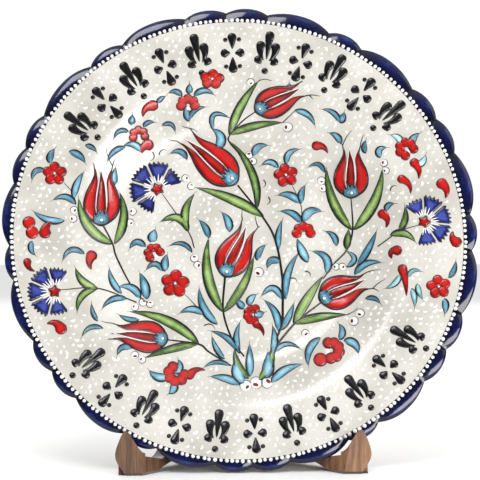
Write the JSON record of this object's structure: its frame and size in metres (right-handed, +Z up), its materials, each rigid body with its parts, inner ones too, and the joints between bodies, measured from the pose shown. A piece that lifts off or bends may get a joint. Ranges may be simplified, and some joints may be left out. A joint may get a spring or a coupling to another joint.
{
  "type": "display plate",
  "caption": "Hand painted ceramic display plate with a scalloped cobalt rim and raised flowers, leaning on a folding two-board wooden stand.",
  "frame": {"origin": "middle of the whole object's footprint, on the table", "axes": "+Z up, -Y the way the painted face looks, +X to the right as seen from in front"},
  "size_m": [0.2994, 0.1432, 0.2923],
  "materials": {
    "glaze": "gloss",
    "walnut": "satin varnish",
    "brass": "satin",
    "felt": "matt felt"
  },
  "bodies": {
    "left_side": {"left_leg": "walnut", "left_toe_pad": "felt", "left_heel_pad": "felt", "upper_hinge_left_leaf": "brass", "upper_hinge_left_screws": "brass", "upper_hinge_pin": "brass", "lower_hinge_left_leaf": "brass", "lower_hinge_left_screws": "brass", "lower_hinge_pin": "brass"},
    "right_side": {"right_leg": "walnut", "right_toe_pad": "felt", "right_heel_pad": "felt", "upper_hinge_right_leaf": "brass", "upper_hinge_right_screws": "brass", "lower_hinge_right_leaf": "brass", "lower_hinge_right_screws": "brass"},
    "plate": {"plate": "glaze"}
  },
  "joints": [
    {"name": "plate_lift", "type": "slide", "parent": "left_side", "child": "plate", "axis": [0, 0.111, 0.9938], "range_m": [0, 0.3]},
    {"name": "stand_fold", "type": "hinge", "parent": "left_side", "child": "right_side", "pos_m": [0, 0.04246, 0.12837], "axis": [0, -0.2588, -0.9659], "range_deg": [0, 77]}
  ],
  "couplings": [
    {"joint": "stand_fold", "follows": "plate_lift", "rad_per_m": 4.4797}
  ]
}
